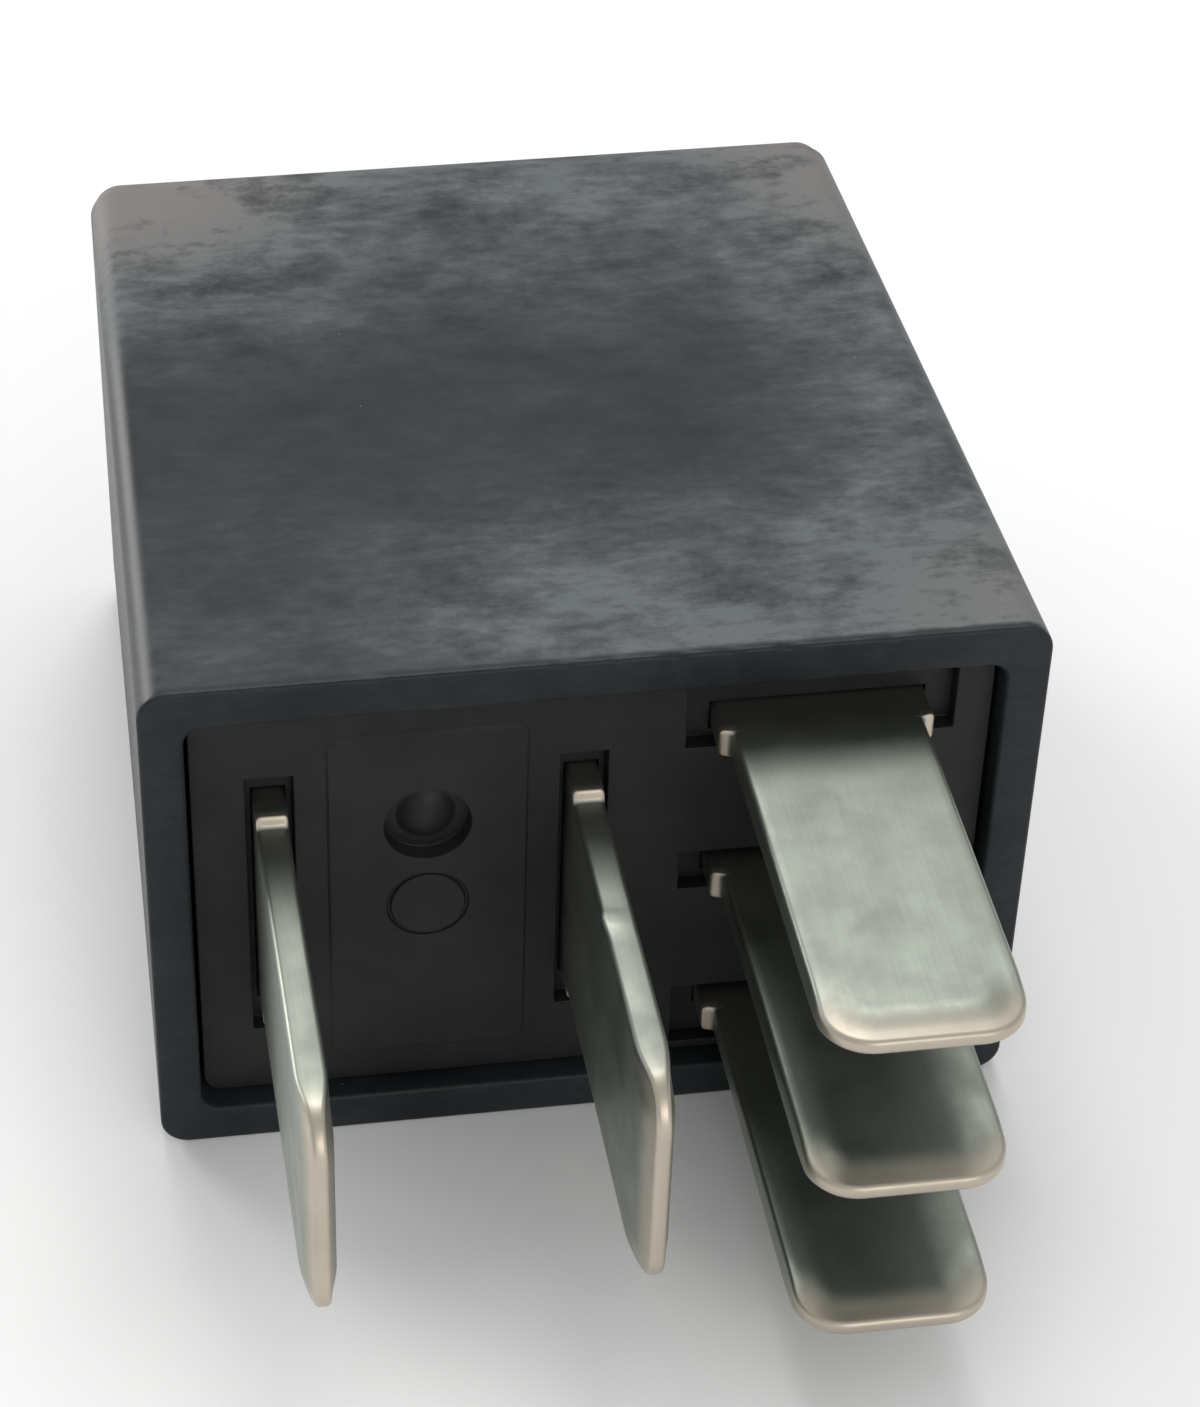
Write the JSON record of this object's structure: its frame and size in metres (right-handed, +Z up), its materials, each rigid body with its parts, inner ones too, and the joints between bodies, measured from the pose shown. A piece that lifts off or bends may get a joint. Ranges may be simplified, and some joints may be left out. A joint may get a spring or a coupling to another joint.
{
  "type": "micro change-over relay",
  "caption": "Automotive micro relay: black moulded box with tinned blade terminals, a coil, a tipping armature and a change-over contact inside.",
  "frame": {"origin": "centre of the relay's box in plan, on the surface that it lies on", "axes": "+Y along the relay from the blade tips to the closed end, +X across the width from blade 30 to the stacked blades, +Z up from the large face that it rests on"},
  "size_m": [0.0226, 0.0364, 0.0148],
  "materials": {
    "cover_plastic": "fine matte moulded, slightly dusty and scuffed",
    "base_plastic": "matte moulded",
    "tinned_blade": "dull tin plating with drawing marks",
    "iron": "zinc plated, satin",
    "bobbin_plastic": "natural nylon",
    "enamelled_copper": "glossy enamel on copper",
    "solder": "bright solder",
    "spring_bronze": "rolled, satin",
    "contact_silver": "silver alloy, satin",
    "rivet_steel": "satin"
  },
  "bodies": {
    "relay": {"cover": "cover_plastic", "base": "base_plastic", "terminal_30": "tinned_blade", "terminal_87": "tinned_blade", "terminal_87a": "tinned_blade", "terminal_86": "tinned_blade", "terminal_85": "tinned_blade", "yoke": "iron", "core": "iron", "bobbin": "bobbin_plastic", "coil_winding": "enamelled_copper", "coil_lead_86": "enamelled_copper", "coil_lead_85": "enamelled_copper", "solder_joint_86": "solder", "solder_joint_85": "solder", "fixed_contact_no": "contact_silver", "fixed_contact_nc": "contact_silver", "yoke_rivets": "rivet_steel"},
    "armature": {"armature": "iron", "contact_spring": "spring_bronze", "moving_contact": "contact_silver", "armature_rivets": "rivet_steel"}
  },
  "joints": [
    {"name": "armature_pivot", "type": "hinge", "parent": "relay", "child": "armature", "pos_m": [-0.00887, 0.0126, 0.0074], "axis": [0, 0, -1], "range_deg": [0, 2], "stiffness_Nm_per_rad": 0.02, "springref_deg": -14.32, "deforming": ["contact_spring"]}
  ]
}
